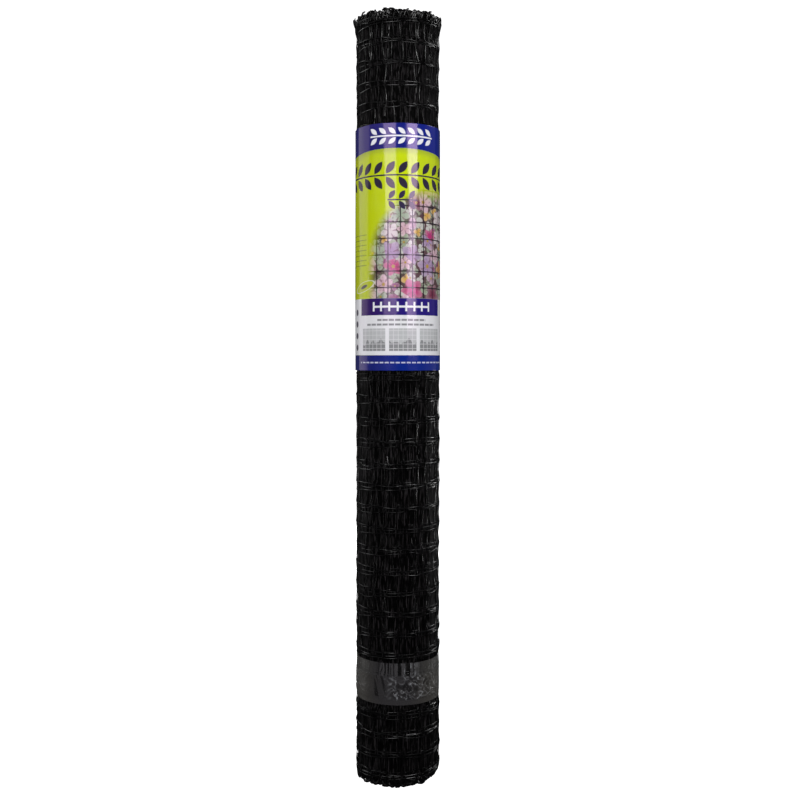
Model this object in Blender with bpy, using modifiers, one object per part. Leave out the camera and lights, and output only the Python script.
"""A roll of black garden netting, standing on its cut edge.

The net is one wound solid: the cells of its outer turn are sunk between the strands, its loose
edge is a ledge down the back, and a hollow runs up the middle where the winding mandrel was.
A printed wrap and a band of clear tape go round it. Metres, +Z up, the front faces -Y.
"""

import math

import bmesh
import bpy

MM = 0.001

# The net: a yard high, with cells one inch high and three quarters of an inch wide.
NET_HEIGHT = 914 * MM
ROLL_RADIUS = 50.0 * MM
CELLS_HIGH = 36
CELLS_ROUND = 16
BOTTOM_STUB = 14 * MM
TOP_STUB = 12.5 * MM
LOWER_SAG = 8 * MM
LOWER_ROWS = 20
STRAND_SLOPE = 1.9 * MM
RING_SLOPE = 4.2 * MM
CELL_DEPTH = 2.2 * MM

# The winding: how far the outer turn climbs to its loose edge, and the hollow in the middle.
TURN_STEP = 1.3 * MM
CELL_ANGLE = math.tau / CELLS_ROUND
LOOSE_EDGE = 7.5 * CELL_ANGLE
HOLLOW_RADIUS = 11 * MM

# The cut ends: stubs of strand stand between the notches, and the top has sprung open a little.
NOTCH_DEPTH = 6 * MM
TOP_FLARE = 3.0 * MM
FLARE_HEIGHT = 26 * MM

# The wrap and the tape, as heights above the floor.
LABEL_BOTTOM = 489 * MM
LABEL_TOP = 779 * MM
TAPE_BOTTOM = 97 * MM
TAPE_TOP = 146 * MM
SHEET_THICKNESS = 1.0 * MM
SEAT_GAP = 0.4 * MM
TAPE_SQUEEZE = 1.5 * MM
SQUEEZE_MARGIN = 1.0 * MM

COLOURS = {
    "net_black": ((0.012, 0.012, 0.013, 1.0), 0.42),
    "label_print": ((0.50, 0.60, 0.02, 1.0), 0.30),
    "tape_film": ((0.09, 0.09, 0.09, 1.0), 0.25),
}


def row_height(row):
    """Height of a horizontal strand: evenly spaced, but drawn down a little in the lower half."""
    spacing = (NET_HEIGHT - BOTTOM_STUB - TOP_STUB) / CELLS_HIGH
    drawn = LOWER_SAG * math.sin(math.pi * min(row, LOWER_ROWS) / LOWER_ROWS)
    return BOTTOM_STUB + spacing * row - drawn


def unevenness(*seeds):
    """A repeatable number from -1 to 1, different for each set of seeds."""
    mixed = math.sin(sum(seed * factor for seed, factor in zip(seeds, (12.9898, 78.233)))) * 43758.5
    return 2 * (mixed - math.floor(mixed)) - 1


def clear_scene():
    for old in list(bpy.data.objects):
        bpy.data.objects.remove(old)


def new_collection(name):
    collection = bpy.data.collections.new(name)
    bpy.context.scene.collection.children.link(collection)
    return collection


def material(name):
    colour, roughness = COLOURS[name]
    made = bpy.data.materials.new(name)
    made.use_nodes = True
    shader = made.node_tree.nodes["Principled BSDF"]
    shader.inputs["Base Color"].default_value = colour
    shader.inputs["Roughness"].default_value = roughness
    shader.inputs["Metallic"].default_value = 0.0
    made.diffuse_color = colour
    return made


def add_object(name, bm, collection, finish):
    mesh = bpy.data.meshes.new(name)
    bm.to_mesh(mesh)
    bm.free()
    mesh.materials.append(material(finish))
    made = bpy.data.objects.new(name, mesh)
    collection.objects.link(made)
    return made


def around(radius, angle, height):
    """A point on the roll. Angle 0 is the front, and it grows towards +X."""
    return radius * math.sin(angle), -radius * math.cos(angle), height


def net_radius(turned, height):
    """Radius of the strands' crests, where turned goes from 0 to 1 round the outer turn."""
    radius = ROLL_RADIUS - TURN_STEP * (1 - turned)
    if TAPE_BOTTOM - 2 * SQUEEZE_MARGIN < height < TAPE_TOP + 2 * SQUEEZE_MARGIN:
        radius -= TAPE_SQUEEZE
    above = max(0.0, height - (NET_HEIGHT - FLARE_HEIGHT)) / FLARE_HEIGHT
    return radius + TOP_FLARE * above ** 2


def net_lines():
    """The roll's horizontal lines from the bottom up, as (height, whether cells are sunk above it)."""
    tape = TAPE_BOTTOM - SQUEEZE_MARGIN, TAPE_TOP + SQUEEZE_MARGIN
    label = LABEL_BOTTOM + SQUEEZE_MARGIN, LABEL_TOP - SQUEEZE_MARGIN
    covered = tape, label
    lines = [(0.0, False), (tape[0], False), (tape[1], False), (label[0], False), (label[1], True)]
    for row in range(CELLS_HIGH + 1):
        height = row_height(row)
        if not any(low - 3 * MM < height < high + 3 * MM for low, high in covered):
            next_height = row_height(row + 1)
            meets_label = height < label[0] < next_height
            lines.append((height, row < CELLS_HIGH and not meets_label))
    lines.append((NET_HEIGHT, False))
    return sorted(lines)


def flat_net(lines):
    """The outer turn laid flat: X round the roll, Y its height, cells pressed down between the strands.

    The cells are inset while squashed in height, so that they slope more gently to the rings than to
    the upright strands.
    """
    squash = STRAND_SLOPE / RING_SLOPE
    halves = 2 * CELLS_ROUND
    half_width = math.tau * ROLL_RADIUS / halves
    bm = bmesh.new()
    bmesh.ops.create_grid(bm, x_segments=halves + 1, y_segments=len(lines) - 1, size=1.0)
    columns = halves + 1
    bands = len(lines) - 1
    for vertex in bm.verts:
        column = round((vertex.co.x + 1) / 2 * columns)
        line = round((vertex.co.y + 1) / 2 * bands)
        vertex.co.x = column * half_width
        vertex.co.y = lines[line][0] * squash
    cells = {}
    for face in bm.faces:
        centre = face.calc_center_median()
        half = int(centre.x / half_width)
        band = max(i for i in range(bands) if lines[i][0] * squash < centre.y)
        if half < halves and lines[band][1]:
            cells.setdefault((half // 2, band), []).append(face)
    for faces in cells.values():
        bmesh.ops.inset_region(
            bm,
            faces=faces,
            thickness=STRAND_SLOPE,
            depth=-CELL_DEPTH,
            use_boundary=True,
            use_even_offset=True,
        )
    for vertex in bm.verts:
        vertex.co.y /= squash
    return bm, half_width, halves


def roll_up(bm, half_width, halves):
    """Winds the flat turn round the roll. The column past the last strand becomes the loose edge's ledge."""
    round_length = half_width * halves
    for vertex in bm.verts:
        along, height, depth = vertex.co
        past = along > round_length * 1.001
        turned = 0.0 if past else along / round_length
        angle = LOOSE_EDGE + math.tau * (0.0 if past else turned)
        column = 0 if past else round(along / half_width)
        radius = net_radius(turned, height) + depth
        if height > NET_HEIGHT - 1 * MM:
            height -= NOTCH_DEPTH * stub_cut(column, 1)
        elif height < 1 * MM:
            height += NOTCH_DEPTH * stub_cut(column, 0)
        vertex.co = around(radius, angle, height)
    bmesh.ops.remove_doubles(bm, verts=bm.verts, dist=0.01 * MM)


def stub_cut(column, end):
    """How deep the cut end is notched at a column, from 0 on a whole stub to 1."""
    between_strands = column % 2
    return (0.75 + 0.25 * unevenness(column, 3 + end)) if between_strands else 0.25 * abs(unevenness(column, end))


def close_end(bm, rim, steps):
    """Carries a cut end inwards over its turns, in steps of (share of the rim's radius kept, height)."""
    loop = rim
    for kept, height in steps:
        grown = bmesh.ops.extrude_edge_only(bm, edges=loop)["geom"]
        inner = [item for item in grown if isinstance(item, bmesh.types.BMVert)]
        for vertex in inner:
            angle = math.atan2(vertex.co.x, -vertex.co.y)
            radius = max(HOLLOW_RADIUS, kept * ROLL_RADIUS)
            vertex.co = around(radius, angle, height)
        bmesh.ops.remove_doubles(bm, verts=inner, dist=0.01 * MM)
        left = {vertex for vertex in inner if vertex.is_valid}
        loop = [edge for edge in bm.edges if edge.is_boundary and left.issuperset(edge.verts)]
    return loop


def net_roll(collection):
    bm, half_width, halves = flat_net(net_lines())
    roll_up(bm, half_width, halves)
    rims = [edge for edge in bm.edges if edge.is_boundary]
    middle = NET_HEIGHT / 2
    bottom = [edge for edge in rims if edge.verts[0].co.z < middle]
    top = [edge for edge in rims if edge.verts[0].co.z > middle]
    bottom_hollow = close_end(bm, bottom, [(0.90, 0.0), (0.36, 0.0), (0.0, 3 * MM)])
    top_hollow = close_end(
        bm,
        top,
        [(0.90, NET_HEIGHT - 8 * MM), (0.62, NET_HEIGHT - 5 * MM), (0.36, NET_HEIGHT - 9 * MM), (0.0, NET_HEIGHT - 12 * MM)],
    )
    bmesh.ops.bridge_loops(bm, edges=bottom_hollow + top_hollow)
    bmesh.ops.recalc_face_normals(bm, faces=bm.faces)
    return add_object("net_roll", bm, collection, "net_black")


def smooth_step(low, high, value):
    share = min(1.0, max(0.0, (value - low) / (high - low)))
    return share * share * (3 - 2 * share)


def wrapped_sheet(name, collection, finish, low, high, seat, start, overlap, columns, rows, ripple):
    """A strip once round the roll. Its last stretch climbs over its first and lies on it."""
    turn = math.tau + overlap
    bm = bmesh.new()
    bmesh.ops.create_grid(bm, x_segments=columns, y_segments=rows, size=1.0)
    for vertex in bm.verts:
        across = (vertex.co.x + 1) / 2
        up = (vertex.co.y + 1) / 2
        turned = across * turn
        climb = smooth_step(math.tau - math.radians(24), math.tau - math.radians(4), turned)
        wave = 0.5 + 0.5 * math.sin(5 * turned + 9 * up) * math.sin(2.3 * turned - 7 * up)
        overlapping = turned < overlap or turned > math.tau - math.radians(4)
        radius = seat + climb * (SHEET_THICKNESS + SEAT_GAP) + (0 if overlapping else ripple * wave)
        vertex.co = around(radius, start + turned, low + up * (high - low))
    bm.normal_update()
    sheet = add_object(name, bm, collection, finish)
    shell = sheet.modifiers.new("Thickness", "SOLIDIFY")
    shell.thickness = SHEET_THICKNESS
    shell.offset = 1.0
    sheet.data.shade_smooth()
    return sheet


def main():
    clear_scene()
    parts = new_collection("netting_roll")
    net_roll(parts)
    wrapped_sheet(
        "label_wrap",
        parts,
        "label_print",
        LABEL_BOTTOM,
        LABEL_TOP,
        ROLL_RADIUS + SEAT_GAP,
        math.radians(200),
        math.radians(17),
        columns=52,
        rows=8,
        ripple=0.3 * MM,
    )
    wrapped_sheet(
        "tape_band",
        parts,
        "tape_film",
        TAPE_BOTTOM,
        TAPE_TOP,
        ROLL_RADIUS - TAPE_SQUEEZE + SEAT_GAP,
        math.radians(112),
        math.radians(40),
        columns=52,
        rows=3,
        ripple=0.3 * MM,
    )


main()
